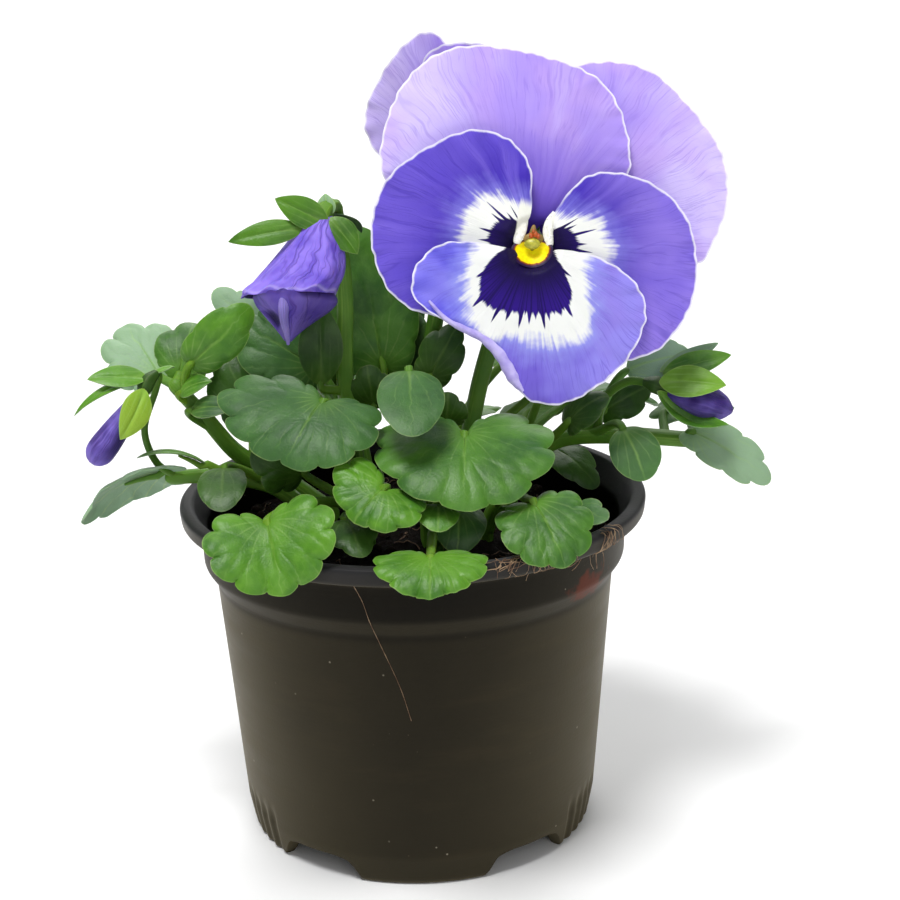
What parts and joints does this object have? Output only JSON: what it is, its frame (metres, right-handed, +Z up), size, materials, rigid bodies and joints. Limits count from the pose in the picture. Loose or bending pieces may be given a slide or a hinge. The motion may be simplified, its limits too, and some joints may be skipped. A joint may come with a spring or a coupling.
{
  "type": "potted horned violet",
  "caption": "Potted horned violet in flower: broad blue-violet bloom with a white and indigo eye, buds, toothed leaves and a dark round nursery pot.",
  "frame": {"origin": "on the surface that the pot stands on, under the middle of the whole plant's box; the pot's axis is at X -2.8 mm, Y +1.0 mm", "axes": "+Z up; the open bloom faces -Y; +X to the right as the bloom is looked at"},
  "size_m": [0.1313, 0.1042, 0.1521],
  "materials": {
    "pot_plastic": "satin",
    "soil": "matte",
    "leaf_green": "satin",
    "petal_lavender": "satin",
    "petal_blue_violet": "satin",
    "throat_yellow": "satin"
  },
  "bodies": {
    "root": {"back_bloom_petal_lip": "petal_blue_violet", "back_bloom_petal_side_left": "petal_blue_violet", "back_bloom_petal_side_right": "petal_blue_violet", "back_bloom_petal_upper_left": "petal_lavender", "back_bloom_petal_upper_right": "petal_lavender", "back_bloom_pistil": "throat_yellow", "bloom_petal_lip": "petal_blue_violet", "bloom_petal_side_left": "petal_blue_violet", "bloom_petal_side_right": "petal_blue_violet", "bloom_petal_upper_left": "petal_lavender", "bloom_petal_upper_right": "petal_lavender", "bloom_pistil": "throat_yellow", "left_bud_petals": "petal_blue_violet", "nodding_bud_petals": "petal_blue_violet", "pot": "pot_plastic", "right_bud_petals": "petal_blue_violet", "shoot_back": "leaf_green", "shoot_back_bloom": "leaf_green", "shoot_back_left": "leaf_green", "shoot_back_right": "leaf_green", "shoot_bloom": "leaf_green", "shoot_centre": "leaf_green", "shoot_centre_low": "leaf_green", "shoot_front_left": "leaf_green", "shoot_front_right": "leaf_green", "shoot_left_high": "leaf_green", "shoot_left_low": "leaf_green", "shoot_nodding": "leaf_green", "shoot_right": "leaf_green", "soil": "soil"}
  },
  "joints": []
}
